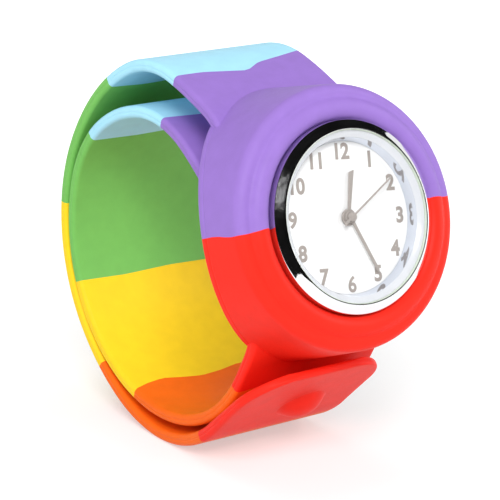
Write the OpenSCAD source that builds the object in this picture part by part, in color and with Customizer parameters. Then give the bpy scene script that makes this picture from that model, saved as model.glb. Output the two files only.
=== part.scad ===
// Child's quartz slap watch: a round housing moulded on a silicone strap with a spring band inside.
// It stands as photographed, coiled about two turns, with the dial tilted back.

/* [Strap] */
// Width of the strap
strap_w = 26; // [22:0.5:28]
// Thickness of the strap
strap_t = 2; // [1.8:0.1:2.3]
// Radius of the rounded strap edges
edge_r = 0.7; // [0.3:0.1:0.8]
// Straight part of the outer end before its rounded corners
outer_straight = 9.15; // [8.5:0.05:12]
// Straight part of the inner end before its rounded corners
inner_straight = 1.55; // [1:0.05:4]
// Thickness at the end of the tips
tip_t = 1.3; // [1.2:0.1:1.7]
// Radius of the corners of the tips
tip_r = 10; // [6:0.5:10.5]
// Width of the spring band
band_w = 20; // [14:1:21]
// Thickness of the spring band
band_t = 0.2; // [0.15:0.05:0.4]
// Distance from a tip to the end of the band
band_short = 5; // [3.5:0.5:8]
// Radius at the foot of the bump on the outer tip
bump_r = 4; // [2:0.5:5]
// Height of the bump
bump_h = 1.4; // [0.6:0.2:2]
// Distance from the end of the tip to the bump
bump_back = 12.5; // [11:0.5:16]
// Angle by which the dial leans back
dial_tilt = 16; // [6:1:20]

/* [Housing] */
// Radius of the housing where its wall meets the strap
foot_r = 21; // [20.5:0.5:23]
// Slant of the housing wall
wall_slant = 4.5; // [3:1:8]
// Silicone between the module's cup and the strap behind it
floor_t = 1.3; // [0.9:0.1:2.3]
// Thickness of the housing's rim beside the strap
rim_t = 0.8; // [0.6:0.1:1.4]
// Radius to which the back of the housing is curved
wrist_r = 34; // [33.5:0.5:36]
// Radius of the round ring at the front of the housing
ring_r = 1.7; // [1.4:0.1:1.9]
// Radius of the round shoulder outside that ring
shoulder_r = 1.6; // [1.2:0.1:1.8]
// Step from the ring down to the shoulder
shoulder_drop = 1; // [0.6:0.1:1.4]
// Height of the colour border above the middle of the dial
border_up = 0.5; // [0:0.1:1]

/* [Watch module] */
// Radius of the bezel
bezel_r = 14.5; // [14.4:0.1:14.8]
// Height of the bezel skirt
skirt_h = 1.4; // [1.2:0.1:1.8]
// Radius of the case behind the bezel
case_r = 13; // [12.9:0.1:13.2]
// Wall of the case
case_wall = 1; // [0.8:0.1:1.1]
// Depth of the case behind the rim of the bezel
case_depth = 6.6; // [6.5:0.1:6.8]
// Height of the glass above the rim of the bezel
glass_up = 0.75; // [0.6:0.05:1]
// Thickness of the glass
glass_t = 1.2; // [1:0.1:1.4]
// Depth of the dial below the rim of the bezel
dial_depth = 2.1; // [2:0.05:2.2]
// Thickness of the dial
dial_t = 0.4; // [0.3:0.05:0.45]
// Angle by which the module sits turned in its cup
module_turn = 6; // [0:1:12]
// Radius of the crown
crown_r = 1.3; // [1:0.1:1.5]
// Length of the crown
crown_l = 0.8; // [0.6:0.1:0.9]

/* [Hands] */
// Length of the hour hand
hour_l = 5.9; // [4:0.1:7]
// Length of the minute hand
minute_l = 9.6; // [8:0.1:10.4]
// Length of the second hand
second_l = 9.8; // [8:0.1:10.4]
// Length of the second hand's tail
tail_l = 1.9; // [1:0.1:3]

/* [Movement] */
// Radius of the movement
move_r = 9.2; // [9.1:0.1:9.5]
// Radius of the battery
battery_r = 2.9; // [2.4:0.1:2.9]
// Distance from the centre to the third wheel
third_at = 3.4; // [3.3:0.1:3.5]
// Distance from the centre to the intermediate wheel
middle_at = 2.6; // [2.5:0.1:2.7]
// Distance from the intermediate wheel to the rotor
rotor_at = 2.2; // [2.1:0.1:2.3]
// Distance from the centre to the minute wheel
minute_at = 2.6; // [2.5:0.1:2.7]

/* [Hidden] */
$fn = 64;

// Clearances
run_gap = 0.05;    // between the pieces of the module that fit together
cup_gap = 0.1;     // round the module in its cup
hinge_gap = 0.15;  // between neighbouring stretches of the strap
band_gap = 0.02;   // round the spring band in the silicone
over = 1;          // overrun of the cuts
screw_gap = 0.05;  // round the heads and pivots

// Strap halves as runs of arcs: each run has its length as a share of half_l, and its sweep
// as a share of a right angle. The outer half is measured on its inner face, the inner half on
// its outer face. Their straight ends come after the last runs.
outer_run_share = [0.020, 0.026, 0.040, 0.078, 0.056, 0.095, 0.095, 0.101, 0.105, 0.093, 0.090];
outer_sweep_share = [0.2111, 0.0278, 0.0589, 0.4522, 0.1656, 0.2667, 0.3356, 0.3656, 0.3056,
  0.3911, 0.3278];
inner_run_share = [0.020, 0.033, 0.118, 0.120, 0.082, 0.085, 0.098, 0.098, 0.075, 0.102,
  0.068, 0.060];
inner_sweep_share = [0.1678, 0.0278, 0.4656, 0.4100, 0.2789, 0.3200, 0.3567, 0.4411, 0.2633,
  0.4911, 0.1289, 0.3322];
half_share = 4.47;      // of wrist_r, the length by which the runs are measured
half_l = half_share * wrist_r;
root_sweep = 30;        // half of the arc that the strap makes through the housing
grid = 0.001;           // radii are rounded to this, so that runs meet face to face

// The side view of the coil: x runs back from the dial, y runs up
cup_depth = case_depth + cup_gap;
strap_depth = cup_depth + floor_t;
wrist_at = [strap_depth + wrist_r, 0];
function shares(side) = side > 0 ? outer_run_share : inner_run_share;
function last(side) = len(shares(side)) - 1;
function sweep(side, i) = acos(0) * (side > 0 ? outer_sweep_share : inner_sweep_share)[i];
function run_r(side, i) = round(shares(side)[i] * half_l * 180 / (PI * sweep(side, i)) / grid) * grid;
function heading(side, i) = i == 0 ? side * (90 - root_sweep)
  : heading(side, i - 1) - side * sweep(side, i - 1);
function across(side, a) = side * [sin(a), -cos(a)];
function start_r(side) = side > 0 ? wrist_r - strap_t : wrist_r;
function run_start(side, i) = i == 0
  ? wrist_at + start_r(side) * [-cos(root_sweep), side * sin(root_sweep)]
  : run_centre(side, i - 1) - run_r(side, i - 1) * across(side, heading(side, i));
function run_centre(side, i) = run_start(side, i) + run_r(side, i) * across(side, heading(side, i));

// The lowest point of the coil as it stands, and how far it reaches back
function leant(p) = [p[0] * cos(dial_tilt) + p[1] * sin(dial_tilt),
  p[1] * cos(dial_tilt) - p[0] * sin(dial_tilt)];
steps = 30;
coil_points = [for (i = [0 : last(1)], k = [0 : steps])
  leant(run_centre(1, i) - (run_r(1, i) + strap_t)
    * across(1, heading(1, i) - sweep(1, i) * k / steps))];
coil_low = min([for (p = coil_points) p[1]]);
coil_back = max([for (p = coil_points) p[0]]);

// Front of the housing in its turned section: x is the radius, y runs to the front
lip_r = bezel_r + cup_gap;
crest_at = [lip_r + ring_r, run_gap - ring_r];
shoulder_at = crest_at + [shoulder_r + ring_r / 3, -shoulder_drop];
wall_top = shoulder_at + (shoulder_r - band_gap) * [cos(wall_slant), sin(wall_slant)];
wall_foot = [wall_top[0] + (wall_top[1] + wrist_r) * tan(wall_slant), -wrist_r];
reach_front = crest_at[0] * sin(dial_tilt) + crest_at[1] * cos(dial_tilt) + ring_r;
middle_back = (coil_back - reach_front) / 2;

module stand() translate([0, -middle_back, -coil_low]) rotate([-dial_tilt, 0, 0]) children();
module face_on() stand() rotate([90, 0, 0]) children();
module module_on() face_on() rotate([0, 0, -module_turn]) children();
module side_on() stand() rotate([90, 0, 90]) children();

// Section through the strap: x is the radius, y the width
module strap_section(r_in) {
  translate([r_in + edge_r, -strap_w / 2]) square([strap_t - 2 * edge_r, strap_w]);
  translate([r_in, edge_r - strap_w / 2]) square([strap_t, strap_w - 2 * edge_r]);
  for (x = [r_in + edge_r, r_in + strap_t - edge_r], side = [-1, 1])
    translate([x, side * (strap_w / 2 - edge_r)]) circle(edge_r);
}
module band_section(r_in, gap) {
  translate([r_in + strap_t / 2 - band_t / 2 - gap, -band_w / 2 - gap])
    square([band_t + 2 * gap, band_w + 2 * gap]);
}
// What a piece of the strap is cut from: the silicone with its slot, the band or the slot
module strap_form(form, r_in) {
  if (form == "solid") strap_section(r_in);
  if (form == "strap") difference() {
    strap_section(r_in);
    band_section(r_in, band_gap);
  }
  if (form == "band") band_section(r_in, 0);
  if (form == "slot") band_section(r_in, band_gap);
}
// One run of a half, shortened at its start by trim_a and at its end by trim_b
module run(form, side, i, trim_a, trim_b) {
  r = run_r(side, i);
  r_in = side > 0 ? r : r - strap_t;
  a = trim_a * 180 / (PI * r);
  b = trim_b * 180 / (PI * r);
  low = side > 0 ? heading(side, i) + 90 - sweep(side, i) + b : heading(side, i) - 90 + a;
  side_on() translate(run_centre(side, i)) rotate(low)
    rotate_extrude(angle = sweep(side, i) - a - b) strap_form(form, r_in);
}
// Runs i and i + 1, drawn from the plane where they meet
module pair(form, side, i, trim_a, trim_b) {
  r = run_r(side, i);
  next_r = run_r(side, i + 1);
  thin = side > 0 ? 0 : strap_t;
  side_on() translate(run_centre(side, i)) rotate(heading(side, i + 1) + 90 * side) {
    mirror([0, side > 0 ? 0 : 1, 0])
      rotate_extrude(angle = sweep(side, i) - trim_a * 180 / (PI * r)) strap_form(form, r - thin);
    translate([r - next_r, 0, 0]) mirror([0, side > 0 ? 1 : 0, 0])
      rotate_extrude(angle = sweep(side, i + 1) - trim_b * 180 / (PI * next_r))
        strap_form(form, next_r - thin);
  }
}
// A stretch of two runs, with half a hinge gap left at each end
module stretch(form, side, i) pair(form, side, i, hinge_gap / 2, hinge_gap / 2);

// The arc of the strap through the housing, longer by the angle more at both ends
module root_arc(form, more = 0) {
  side_on() translate(wrist_at) rotate(180 - root_sweep - more)
    rotate_extrude(angle = 2 * (root_sweep + more)) strap_form(form, wrist_r - strap_t);
}

// Straight tip, drawn from its own start: x runs along the strap, z to its outer face
module tip_outline(l, start) {
  translate([start, -strap_w / 2]) square([l - tip_r - start, strap_w]);
  translate([l - tip_r - over, tip_r - strap_w / 2]) square([tip_r + over, strap_w - 2 * tip_r]);
  for (side = [-1, 1]) translate([l - tip_r, side * (strap_w / 2 - tip_r)]) circle(tip_r);
}
// Side view of a tip, thinner towards its end
module tip_side(l, face) {
  if (face > 0) polygon([[0, 0], [l, 0], [l, tip_t], [0, strap_t]]);
  else polygon([[0, 0], [l, strap_t - tip_t], [l, strap_t], [0, strap_t]]);
}
module tip_plate(l, start, face) {
  difference() {
    intersection() {
      linear_extrude(strap_t) tip_outline(l, start);
      translate([0, strap_w / 2 + over, 0]) rotate([90, 0, 0])
        linear_extrude(strap_w + 2 * over) tip_side(l, face);
    }
    translate([-over, -band_w / 2 - band_gap, strap_t / 2 - band_t / 2 - band_gap])
      cube([l - band_short + over, band_w + 2 * band_gap, band_t + 2 * band_gap]);
  }
}
module tip_band(l, start) {
  translate([start, -band_w / 2, strap_t / 2 - band_t / 2])
    cube([l - band_short - band_gap - start, band_w, band_t]);
}
module bump(l) {
  ball_r = (bump_r * bump_r + bump_h * bump_h) / (2 * bump_h);
  seat = strap_t - (strap_t - tip_t) * (l - bump_back) / l;
  intersection() {
    translate([l - bump_back, 0, seat + bump_h - ball_r]) sphere(ball_r);
    translate([l - bump_back, 0, seat - edge_r / 2]) cylinder(h = bump_h + edge_r, r = bump_r);
  }
}
module at_tip(side) {
  n = last(side) + 1;
  side_on() translate(run_start(side, n)) rotate(heading(side, n)) rotate([-90 * side, 0, 0])
    translate([0, 0, side > 0 ? 0 : -strap_t]) children();
}
outer_tip_l = outer_straight + tip_r;
inner_tip_l = inner_straight + tip_r;

// Housing: a turned block with a curved back, the strap's root and the cup for the module
module housing_section() {
  translate(crest_at) circle(ring_r);
  translate(shoulder_at) circle(shoulder_r);
  polygon([[0, wall_foot[1]], [0, crest_at[1]], crest_at, shoulder_at, wall_top, wall_foot]);
}
module cup() {
  translate([0, 0, -skirt_h - cup_gap]) cylinder(h = skirt_h + cup_gap + over, r = lip_r);
  translate([0, 0, -cup_depth]) cylinder(h = cup_depth, r = case_r + cup_gap);
  translate([0, 0, -cup_depth]) intersection() {
    cylinder(h = cup_depth, r = lip_r);
    translate([0, -crown_r - 2 * cup_gap, 0])
      cube([lip_r, 2 * crown_r + 4 * cup_gap, cup_depth]);
  }
}
// Room in the turned block for the first two runs of a half
module root_room(side) {
  for (i = [0 : 2]) {
    r = run_r(side, i);
    gap = (i + 1) * band_gap;
    more = hinge_gap * 180 / (PI * r);
    low = side > 0 ? heading(side, i) + 90 - sweep(side, i) : heading(side, i) - 90;
    side_on() translate(run_centre(side, i)) rotate(low - more)
      rotate_extrude(angle = sweep(side, i) + 2 * more)
        translate([(side > 0 ? r : r - strap_t) - gap, -strap_w / 2 - gap])
          square([strap_t + 2 * gap, strap_w + 2 * gap]);
  }
}
module whole_housing() {
  difference() {
    union() {
      difference() {
        face_on() rotate_extrude() housing_section();
        side_on() translate([wrist_at[0], wrist_at[1], -wrist_r])
          cylinder(h = 2 * wrist_r, r = wrist_r - rim_t);
        for (side = [-1, 1]) root_room(side);
      }
      root_arc("solid");
    }
    module_on() cup();
    root_arc("slot", root_more);
  }
}
root_more = 1;
reach = 2 * foot_r;
module half_space(is_upper) face_on()
  translate([-reach, is_upper ? border_up : border_up - 2 * reach, -2 * reach])
    cube([2 * reach, 2 * reach, 3 * reach]);
module housing_upper() color("mediumpurple") intersection() {
  whole_housing();
  half_space(true);
}
module housing_lower() color("tomato") intersection() {
  whole_housing();
  half_space(false);
}
module root_upper() color("mediumpurple") pair("strap", 1, 0, 0, hinge_gap / 2);
module root_lower() color("tomato") pair("strap", -1, 0, 0, hinge_gap / 2);
module band_head() color("silver") {
  root_arc("band");
  for (side = [-1, 1]) pair("band", side, 0, band_gap, hinge_gap / 2);
}

// The outer half of the strap, from the top of the housing round to the red tip
module strap_outer_purple() color("mediumpurple") run("strap", 1, 2, hinge_gap / 2, 0);
module strap_outer_blue() color("lightblue") pair("strap", 1, 3, 0, hinge_gap / 2);
module band_outer_1() color("silver") {
  run("band", 1, 2, hinge_gap / 2, band_gap);
  pair("band", 1, 3, 0, hinge_gap / 2);
}
module strap_outer_green() color("yellowgreen") stretch("strap", 1, 5);
module band_outer_2() color("silver") stretch("band", 1, 5);
module strap_outer_yellow() color("gold") stretch("strap", 1, 7);
module band_outer_3() color("silver") stretch("band", 1, 7);
module strap_outer_orange() color("orange") stretch("strap", 1, 9);
module band_outer_4() color("silver") stretch("band", 1, 9);
module strap_outer_red() color("tomato") at_tip(1) {
  tip_plate(outer_tip_l, hinge_gap / 2, 1);
  bump(outer_tip_l);
}
module band_outer_5() color("silver") at_tip(1) tip_band(outer_tip_l, hinge_gap / 2);

// The inner half, from the bottom of the housing round inside the outer one
module strap_inner_orange() color("orange") stretch("strap", -1, 2);
module band_inner_1() color("silver") stretch("band", -1, 2);
module strap_inner_yellow() color("gold") stretch("strap", -1, 4);
module band_inner_2() color("silver") stretch("band", -1, 4);
module strap_inner_green() color("yellowgreen") stretch("strap", -1, 6);
module band_inner_3() color("silver") stretch("band", -1, 6);
module strap_inner_blue() color("lightblue") stretch("strap", -1, 8);
module band_inner_4() color("silver") stretch("band", -1, 8);
module strap_inner_purple() color("mediumpurple") run("strap", -1, 10, hinge_gap / 2, 0);
module band_inner_5() color("silver") run("band", -1, 10, hinge_gap / 2, band_gap);
// The last run of the inner half and the tip, drawn from the plane where they meet
module inner_end(form) {
  n = last(-1);
  r = run_r(-1, n);
  side_on() translate(run_centre(-1, n)) rotate(heading(-1, n + 1) - 90) {
    mirror([0, 1, 0]) rotate_extrude(angle = sweep(-1, n)) strap_form(form, r - strap_t);
    translate([r - strap_t, 0, 0]) rotate([90, 0, 90]) children();
  }
}
module strap_inner_tip() color("mediumpurple") inner_end("strap") tip_plate(inner_tip_l, 0, -1);
module band_inner_tip() color("silver") inner_end("band") tip_band(inner_tip_l, 0);

// Levels in the module: z runs to the front, and 0 is the rim of the bezel
glass_low = glass_up - glass_t;
gasket_t = 0.25;
case_top = glass_low - gasket_t;
dial_top = -dial_depth;
dial_low = dial_top - dial_t;
back_t = 0.7;
back_top = back_t - case_depth;
back_lip_t = 0.25;
back_lip = 0.6;
o_ring_r = 0.24;
case_in_r = case_r - case_wall;
plate_t = 0.9;
plate_top = dial_low - run_gap;
plate_low = plate_top - plate_t;
train_h = 1.6;
bridge_t = 0.4;
bridge_top = plate_low - train_h;
bridge_low = bridge_top - bridge_t;
stem_z = plate_low - train_h / 2;
stem_r = 0.35;

// A tube or a disc between two levels
module tube(r_out, r_in, low, high) {
  difference() {
    translate([0, 0, low]) cylinder(h = high - low, r = r_out);
    if (r_in > 0) translate([0, 0, low - over]) cylinder(h = high - low + 2 * over, r = r_in);
  }
}
module along_stem(from, to, r) translate([from, 0, stem_z]) rotate([0, 90, 0])
  cylinder(h = to - from, r = r);

// Case
seal_hole_r = 0.62;
bezel_in_r = case_r + run_gap;
bezel_edge = 0.2;
bezel_land = 0.3;
module module_case() color("lightgray") module_on() difference() {
  tube(case_r, case_in_r, -case_depth, case_top);
  tube(case_in_r + back_lip + run_gap, 0, -case_depth - over, back_lip_t + run_gap - case_depth);
  along_stem(case_in_r - over, case_r + over, seal_hole_r);
}
module bezel() color("gainsboro") module_on() rotate_extrude() polygon([
  [bezel_in_r, -skirt_h], [bezel_r, -skirt_h], [bezel_r, -bezel_edge],
  [bezel_r - bezel_edge, 0], [bezel_in_r + bezel_land, glass_up], [bezel_in_r, glass_up]]);
glass_edge = 0.3;
module crystal() color("aliceblue", 0.4) module_on() rotate_extrude() polygon([
  [0, glass_low], [case_r, glass_low], [case_r, glass_up - glass_edge],
  [case_r - glass_edge, glass_up], [0, glass_up]]);
module crystal_gasket() color("darkseagreen") module_on()
  tube(case_r - run_gap, case_in_r + run_gap, case_top, glass_low);
rehaut_wall = 0.65;
rehaut_low_r = case_in_r - run_gap - rehaut_wall;
rehaut_rim = 0.1;
module rehaut() color("white") module_on() rotate_extrude() polygon([
  [rehaut_low_r, dial_top], [case_in_r - run_gap, dial_top],
  [case_in_r - run_gap, glass_low - run_gap],
  [case_in_r - run_gap - rehaut_rim, glass_low - run_gap]]);
module case_back() color("silver") module_on() {
  tube(case_in_r - run_gap, 0, -case_depth, back_top);
  tube(case_in_r + back_lip, 0, -case_depth, back_lip_t - case_depth);
}
module case_back_gasket() color("black") module_on()
  translate([0, 0, back_top + o_ring_r]) rotate_extrude()
    translate([case_in_r - run_gap - o_ring_r, 0]) circle(o_ring_r);

// Dial and hands
dial_r = case_in_r - 2 * run_gap;
hand_t = 0.15;
hand_step = 0.35;
hour_z = dial_top + hand_step;
minute_z = hour_z + hand_step;
second_z = minute_z + hand_step;
hour_tube_r = 0.8;
hour_bore_r = 0.5;
cannon_r = 0.45;
cannon_bore_r = 0.17;
pivot_r = 0.12;
hour_at = 12.6;
minute_at_angle = 150;
second_at = 60;
hour_w = 0.85;
minute_w = 0.5;
second_w = 0.28;
hour_hub_r = 1.1;
minute_hub_r = 0.9;
second_hub_r = 0.7;
point_share = 0.12;    // share of a hand's length that narrows to its point
tail_w_share = 1.6;    // width of the tail in widths of the second hand
module dial() color("white") module_on() tube(dial_r, hour_tube_r + 2 * run_gap, dial_low, dial_top);
module hand(l, w, hub, bore, low) {
  difference() {
    union() {
      translate([0, 0, low]) linear_extrude(hand_t)
        polygon([[-w / 2, 0], [w / 2, 0], [w / 2, l * (1 - point_share)], [0, l],
          [-w / 2, l * (1 - point_share)]]);
      tube(hub, 0, low, low + hand_t);
    }
    tube(bore, 0, low - over, low + hand_t + over);
  }
}
module at_time(a) module_on() rotate([0, 0, -a]) children();
module hour_hand() color("dimgray") at_time(hour_at)
  hand(hour_l, hour_w, hour_hub_r, hour_tube_r, hour_z);
module minute_hand() color("dimgray") at_time(minute_at_angle)
  hand(minute_l, minute_w, minute_hub_r, cannon_r, minute_z);
module second_hand() color("dimgray") at_time(second_at) {
  hand(second_l, second_w, second_hub_r, pivot_r, second_z);
  difference() {
    translate([-second_w * tail_w_share / 2, -tail_l, second_z])
      cube([second_w * tail_w_share, tail_l, hand_t]);
    tube(second_hub_r, 0, second_z - over, second_z + hand_t + over);
  }
}

// Places of the wheels, as an angle and a distance from the centre
third_angle = 200;
middle_angle = 60;
minute_angle = 90;
battery_angle = -80;
function at(a, l) = [l * cos(a), l * sin(a)];
pinion_teeth = 8;
middle_teeth = 48;
second_teeth = 40;
third_teeth = 60;
centre_teeth = 64;
cannon_teeth = 12;
minute_teeth = 36;
minute_pinion_teeth = 10;
hour_teeth = 40;
disc_t = 0.15;
wheel_reach = third_at * (centre_teeth + 2) / (centre_teeth + pinion_teeth);
middle_place = at(middle_angle, middle_at);
rotor_place = at(middle_angle, middle_at + rotor_at);
battery_place = at(battery_angle, wheel_reach + battery_r);
function level(share) = plate_low - share * train_h;
function pitch_r(l, mine, other) = l * mine / (mine + other);

// Toothed wheel with the middle of a tooth at the angle phase
root_share = 1.15;
tip_add_share = 0.9;
foot_width_share = 0.29;
tip_width_share = 0.1;
module teeth(count, r, phase, low, high) {
  m = 2 * r / count;
  step = 360 / count;
  rr = r - root_share * m;
  rt = r + tip_add_share * m;
  translate([0, 0, low]) linear_extrude(high - low) polygon([for (k = [0 : count - 1])
    for (p = [[rr, -foot_width_share], [rt, -tip_width_share], [rt, tip_width_share],
        [rr, foot_width_share]]) p[0] * [cos(phase + (k + p[1]) * step),
        sin(phase + (k + p[1]) * step)]]);
}

module rotor() color("dimgray") module_on() translate(rotor_place) {
  teeth(pinion_teeth, pitch_r(rotor_at, pinion_teeth, middle_teeth),
    middle_angle + 180 + 180 / pinion_teeth, level(0.7), level(0.5));
  tube(magnet_r, 0, level(0.48), level(0.1));
  tube(pivot_r, 0, level(1) - bridge_t / 2, plate_low + plate_t / 3);
}
magnet_r = 0.9;
module intermediate_wheel() color("goldenrod") module_on() translate(middle_place) {
  teeth(middle_teeth, pitch_r(rotor_at, middle_teeth, pinion_teeth), middle_angle,
    level(0.57) - disc_t, level(0.57));
  teeth(pinion_teeth, pitch_r(middle_at, pinion_teeth, second_teeth),
    middle_angle + 180 + 180 / pinion_teeth, level(0.86), level(0.57) - disc_t);
  tube(pivot_r, 0, level(1) - bridge_t / 2, plate_low + plate_t / 4);
}
module second_wheel() color("goldenrod") module_on() {
  teeth(second_teeth, pitch_r(middle_at, second_teeth, pinion_teeth), middle_angle,
    level(0.72) - disc_t, level(0.72));
  teeth(pinion_teeth, pitch_r(third_at, pinion_teeth, third_teeth),
    third_angle + 180 / pinion_teeth, level(0.66), level(0.49));
  tube(pivot_r, 0, level(1) - bridge_t / 2, second_z + hand_t);
}
module third_wheel() color("goldenrod") module_on() translate(at(third_angle, third_at)) {
  teeth(third_teeth, pitch_r(third_at, third_teeth, pinion_teeth), third_angle + 180,
    level(0.54) - disc_t, level(0.54));
  teeth(pinion_teeth, pitch_r(third_at, pinion_teeth, centre_teeth),
    third_angle + 180 + 180 / pinion_teeth, level(0.46), level(0.24));
  tube(pivot_r, 0, level(1) - bridge_t / 2, plate_low + plate_t / 3);
}
motion_depth = 0.62;
module centre_wheel() color("goldenrod") module_on() difference() {
  union() {
    teeth(centre_teeth, pitch_r(third_at, centre_teeth, pinion_teeth), third_angle,
      level(0.3) - disc_t, level(0.3));
    tube(cannon_r, 0, level(0.42), minute_z + hand_t);
    teeth(cannon_teeth, pitch_r(minute_at, cannon_teeth, minute_teeth),
      minute_angle + 180 / cannon_teeth, plate_top - motion_depth * 0.9,
      plate_top - motion_depth / 2);
  }
  tube(cannon_bore_r, 0, level(1), second_z);
}
post_r = 0.25;
module minute_wheel() color("goldenrod") module_on() translate(at(minute_angle, minute_at))
  difference() {
    union() {
      teeth(minute_teeth, pitch_r(minute_at, minute_teeth, cannon_teeth), minute_angle + 180,
        plate_top - motion_depth * 0.55 - disc_t, plate_top - motion_depth * 0.55);
      teeth(minute_pinion_teeth, pitch_r(minute_at, minute_pinion_teeth, hour_teeth),
        minute_angle + 180 + 180 / minute_pinion_teeth, plate_top - motion_depth * 0.55,
        plate_top - motion_depth * 0.05);
    }
    tube(post_r + run_gap / 2, 0, plate_low, dial_top);
  }
module hour_wheel() color("goldenrod") module_on() difference() {
  union() {
    teeth(hour_teeth, pitch_r(minute_at, hour_teeth, minute_pinion_teeth), minute_angle,
      plate_top - motion_depth * 0.1 - disc_t, plate_top - motion_depth * 0.1);
    tube(hour_tube_r, 0, plate_top - motion_depth * 0.1 - disc_t, hour_z + hand_t);
  }
  tube(hour_bore_r, 0, plate_low, second_z);
}

// Movement
pillar_r = 0.7;
pillar_at = 5.9;
pillar_angles = [14, 125, 240];
screw_r = 0.3;
screw_head_r = 0.55;
screw_head_h = 0.18;
pocket_gap = 0.2;
block_l = 2.6;
block_w = 2;
block_share = 0.9;
hour_wheel_r = pitch_r(minute_at, hour_teeth, minute_pinion_teeth);
minute_wheel_r = pitch_r(minute_at, minute_teeth, cannon_teeth);
module main_plate() color("whitesmoke") module_on() {
  difference() {
    union() {
      tube(move_r, 0, plate_low, plate_top);
      for (a = pillar_angles) translate(at(a, pillar_at)) tube(pillar_r, 0, bridge_top, plate_low);
      translate([move_r - block_l - run_gap, -block_w / 2, level(block_share)])
        cube([block_l, block_w, block_share * train_h + plate_t / 2]);
    }
    tube(hour_wheel_r + pocket_gap, 0, plate_top - motion_depth, plate_top + over);
    translate(at(minute_angle, minute_at))
      tube(minute_wheel_r + pocket_gap, 0, plate_top - motion_depth, plate_top + over);
    tube(cannon_r + run_gap, 0, plate_low - over, plate_top + over);
    for (p = [rotor_place, middle_place, at(third_angle, third_at)])
      translate(p) tube(pivot_r + screw_gap / 2, 0, plate_low - over, plate_low + plate_t / 2);
    for (a = pillar_angles) translate(at(a, pillar_at))
      tube(screw_r, 0, bridge_top - over, plate_low - train_h / 4);
    along_stem(move_r - block_l - over, move_r + over, stem_r + run_gap);
  }
  translate(at(minute_angle, minute_at)) tube(post_r, 0, plate_low + plate_t / 8, plate_top);
}
bridge_r = 6.8;
module train_bridge() color("gold") module_on() difference() {
  tube(bridge_r, 0, bridge_low, bridge_top);
  translate(battery_place) tube(battery_r + pocket_gap, 0, bridge_low - over, bridge_top + over);
  for (p = [[0, 0], rotor_place, middle_place, at(third_angle, third_at)])
    translate(p) tube(pivot_r + screw_gap / 2, 0, bridge_low - over, bridge_top + over);
  for (a = pillar_angles) translate(at(a, pillar_at))
    tube(screw_r + screw_gap, 0, bridge_low - over, bridge_top + over);
}
module bridge_screws() color("silver") module_on()
  for (a = pillar_angles) translate(at(a, pillar_at)) {
    tube(screw_r, 0, bridge_low, plate_low - train_h / 4);
    difference() {
      tube(screw_head_r, 0, bridge_low - screw_head_h, bridge_low);
      translate([-screw_head_r, -screw_gap, bridge_low - screw_head_h - over])
        cube([2 * screw_head_r, 2 * screw_gap, over + screw_head_h / 2]);
    }
  }
battery_rim = 0.3;
module battery() color("silver") module_on() translate(battery_place) {
  tube(battery_r, 0, bridge_low + battery_rim, plate_low - run_gap);
  tube(battery_r - battery_rim, 0, bridge_low, bridge_low + battery_rim);
}
clip_t = 0.12;
clip_w = 1.5;
clip_angle = 240;
module battery_clip() color("silver") module_on() {
  from = at(clip_angle, pillar_at);
  way = battery_place - from;
  translate(from) rotate([0, 0, atan2(way[1], way[0])])
    translate([0, 0, bridge_low - clip_t]) linear_extrude(clip_t) difference() {
      union() {
        circle(clip_w * 0.75);
        translate([0, -clip_w / 2]) square([norm(way), clip_w]);
        translate([norm(way), 0]) circle(clip_w / 2);
      }
      circle(screw_head_r + screw_gap);
    }
}
coil_r = 0.75;
coil_l = 6.4;
stator_w = 1;
coil_end = stator_w / 2 + run_gap;    // keeps the winding clear of the stator's arms
core_t = 0.5;
coil_at = 7.4;
module across_coil() module_on() rotate([0, 0, middle_angle]) translate([coil_at, 0, 0]) children();
module coil() color("chocolate") across_coil() {
  translate([0, -coil_l / 2 + coil_end, stem_z]) rotate([-90, 0, 0])
    cylinder(h = coil_l - 2 * coil_end, r = coil_r);
  for (side = [-1, 1])
    translate([-core_t, side * (coil_l - coil_end) / 2 - coil_end / 2, stem_z - core_t / 2])
      cube([2 * core_t, coil_end, level(0.22) - stem_z + core_t / 2]);
}
stator_r = 1.9;
stator_gap = 0.15;
module stator() color("slategray") module_on() rotate([0, 0, middle_angle])
  translate([0, 0, level(0.22)]) linear_extrude(0.14 * train_h) {
    difference() {
      union() {
        translate([middle_at + rotor_at, 0]) circle(stator_r);
        for (side = [-1, 1]) translate([middle_at + rotor_at, side * coil_l / 2 - stator_w / 2])
          square([coil_at + core_t - middle_at - rotor_at, stator_w]);
        translate([middle_at + rotor_at, -coil_l / 2])
          square([stator_w, coil_l]);
      }
      translate([middle_at + rotor_at, 0]) circle(magnet_r + stator_gap);
    }
  }
board_t = 0.2;
board_at = [-7.5, 1];
board_size = [3.2, 3.7];
chip_r = 0.8;
can_r = 0.55;
can_l = 3.2;
module circuit_board() color("seagreen") module_on() {
  translate([board_at[0], board_at[1], plate_low - board_t - run_gap])
    cube([board_size[0], board_size[1], board_t]);
  translate([board_at[0] + board_size[0] - chip_r, board_at[1] + board_size[1] / 2,
    plate_low - 2 * board_t - run_gap]) cylinder(h = board_t, r = chip_r);
}
module quartz_can() color("silver") module_on()
  translate([board_at[0] + can_r, board_at[1], plate_low - board_t - 2 * run_gap - can_r])
    rotate([-90, 0, 0]) cylinder(h = can_l, r = can_r);
holder_low = back_top + 2 * o_ring_r + run_gap;
module movement_holder() color("white") module_on() difference() {
  tube(case_in_r - run_gap, move_r + run_gap, holder_low, dial_low);
  along_stem(move_r - over, case_in_r + over, seal_hole_r);
}

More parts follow.
